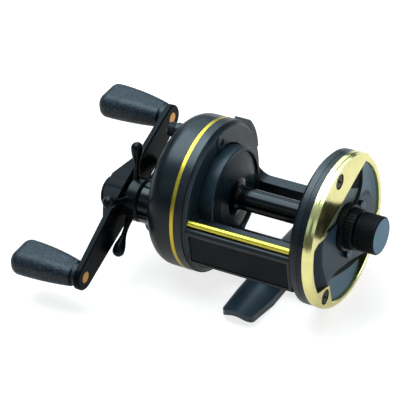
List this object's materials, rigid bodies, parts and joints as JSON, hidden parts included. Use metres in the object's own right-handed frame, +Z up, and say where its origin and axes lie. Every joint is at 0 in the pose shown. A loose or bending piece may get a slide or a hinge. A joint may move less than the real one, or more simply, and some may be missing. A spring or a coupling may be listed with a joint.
{
  "type": "baitcasting reel",
  "caption": "Right-hand baitcasting reel with round side plates, open frame, narrow-arbor spool, star drag, paddle handle and cast-control dial.",
  "frame": {"origin": "on the rod's axis, under the middle of the foot", "axes": "+X along the spool from the handle towards the brake dial, +Y backwards to the angler along the rod, +Z up from the rod seat to the spool"},
  "size_m": [0.1298, 0.0888, 0.0605],
  "materials": {
    "black_casting": "black satin anodised casting",
    "black_metal": "black gloss anodised",
    "black_aluminium": "black polished anodised",
    "black_plastic": "fine pebble grain",
    "gold_trim": "bright pale gold polish",
    "gold_stripe": "gold lacquer band",
    "rivet_brass": "polished",
    "green_dot": "enamel dot",
    "black_screw": "black oxide",
    "plain_steel": "plain turned steel",
    "inner_brass": "turned brass",
    "inner_aluminium": "plain aluminium sheet",
    "inner_plastic": "moulded"
  },
  "bodies": {
    "reel_frame": {"frame": "black_casting", "reel_foot": "black_casting", "foot_rivets": "plain_steel", "line_guard_rod": "gold_trim", "front_badge": "black_casting", "dial_side_plate": "black_casting", "dial_side_cap": "black_casting", "dial_side_trim": "gold_trim", "dial_side_screws": "black_screw", "dial_scale_collar": "black_plastic", "gear_side_housing": "black_casting", "gold_stripe": "gold_stripe", "thumb_screws": "black_metal", "gear_carrier_plate": "inner_aluminium", "carrier_plate_screws": "plain_steel", "yoke_posts": "plain_steel", "spool_bearings": "plain_steel", "drive_shaft_bush": "inner_brass", "drive_shaft_bearing": "plain_steel", "pawl_post": "plain_steel", "carrier_guide_pins": "plain_steel"},
    "spool_assembly": {"spool": "black_aluminium", "spool_shaft": "plain_steel", "clutch_cross_pin": "plain_steel", "brake_rotor": "inner_aluminium"},
    "pinion": {"pinion_gear": "inner_brass"},
    "crank": {"drive_shaft": "plain_steel", "main_gear": "inner_brass", "drag_washers": "inner_plastic", "drag_pressure_washer": "plain_steel", "drag_spring_washers": "plain_steel", "drag_sleeve": "plain_steel", "ratchet_wheel": "plain_steel", "handle_arm": "black_metal", "handle_nut": "plain_steel", "handle_nut_cap": "black_metal", "knob_rivets": "rivet_brass"},
    "star": {"star_drag": "black_metal"},
    "upper_knob": {"upper_paddle": "black_plastic", "upper_paddle_bush": "inner_brass", "upper_paddle_cap": "black_plastic"},
    "lower_knob": {"lower_paddle": "black_plastic", "lower_paddle_bush": "inner_brass", "lower_paddle_cap": "black_plastic"},
    "dial": {"brake_dial": "black_aluminium", "brake_cam": "inner_plastic", "dial_index_dot": "green_dot"},
    "magnets": {"magnet_carrier": "inner_plastic", "brake_magnets": "plain_steel"},
    "tension_knob": {"spool_tension_cap": "black_aluminium", "tension_shim": "inner_plastic"},
    "clutch": {"clutch_cam": "plain_steel", "clutch_lever": "black_metal", "clutch_rivets": "plain_steel"},
    "yoke": {"pinion_yoke": "inner_plastic"},
    "pawl": {"anti_reverse_pawl": "plain_steel"}
  },
  "joints": [
    {"name": "handle_turn", "type": "hinge", "parent": "reel_frame", "child": "crank", "pos_m": [-0.04, -0.01394, 0.03494], "axis": [1, 0, 0], "continuous": true},
    {"name": "spool_turn", "type": "hinge", "parent": "reel_frame", "child": "spool_assembly", "pos_m": [0, 0, 0.0377], "axis": [1, 0, 0], "continuous": true},
    {"name": "star_turn", "type": "hinge", "parent": "crank", "child": "star", "pos_m": [-0.05, -0.01394, 0.03494], "axis": [1, 0, 0], "range_deg": [-360, 90]},
    {"name": "upper_knob_turn", "type": "hinge", "parent": "crank", "child": "upper_knob", "pos_m": [-0.07, 0.0204, 0.04987], "axis": [1, 0, 0], "continuous": true},
    {"name": "lower_knob_turn", "type": "hinge", "parent": "crank", "child": "lower_knob", "pos_m": [-0.07, -0.04828, 0.02001], "axis": [1, 0, 0], "continuous": true},
    {"name": "clutch_press", "type": "hinge", "parent": "reel_frame", "child": "clutch", "pos_m": [-0.028, 0, 0.0355], "axis": [-1, 0, 0], "range_deg": [0, 14], "stiffness_Nm_per_rad": 0.5},
    {"name": "yoke_slide", "type": "slide", "parent": "reel_frame", "child": "yoke", "axis": [-1, 0, 0], "range_m": [0, 0.0015]},
    {"name": "pinion_slide", "type": "slide", "parent": "spool_assembly", "child": "pinion", "axis": [-1, 0, 0], "range_m": [0, 0.0015]},
    {"name": "pawl_swing", "type": "hinge", "parent": "reel_frame", "child": "pawl", "pos_m": [-0.029, -0.01533, 0.02504], "axis": [1, 0, 0], "range_deg": [0, 24], "stiffness_Nm_per_rad": 0.001},
    {"name": "brake_dial_turn", "type": "hinge", "parent": "reel_frame", "child": "dial", "pos_m": [0.04, 0, 0.0377], "axis": [1, 0, 0], "range_deg": [0, 300]},
    {"name": "magnet_slide", "type": "slide", "parent": "reel_frame", "child": "magnets", "axis": [-1, 0, 0], "range_m": [0, 0.001]},
    {"name": "tension_cap_turn", "type": "hinge", "parent": "reel_frame", "child": "tension_knob", "pos_m": [-0.042, 0, 0.0377], "axis": [1, 0, 0], "range_deg": [-180, 180]}
  ],
  "couplings": [
    {"joint": "spool_turn", "follows": "handle_turn", "ratio": -4.8},
    {"joint": "yoke_slide", "follows": "clutch_press", "m_per_rad": 0.00613},
    {"joint": "pinion_slide", "follows": "clutch_press", "m_per_rad": 0.00613},
    {"joint": "magnet_slide", "follows": "brake_dial_turn", "m_per_rad": 0.00019}
  ]
}
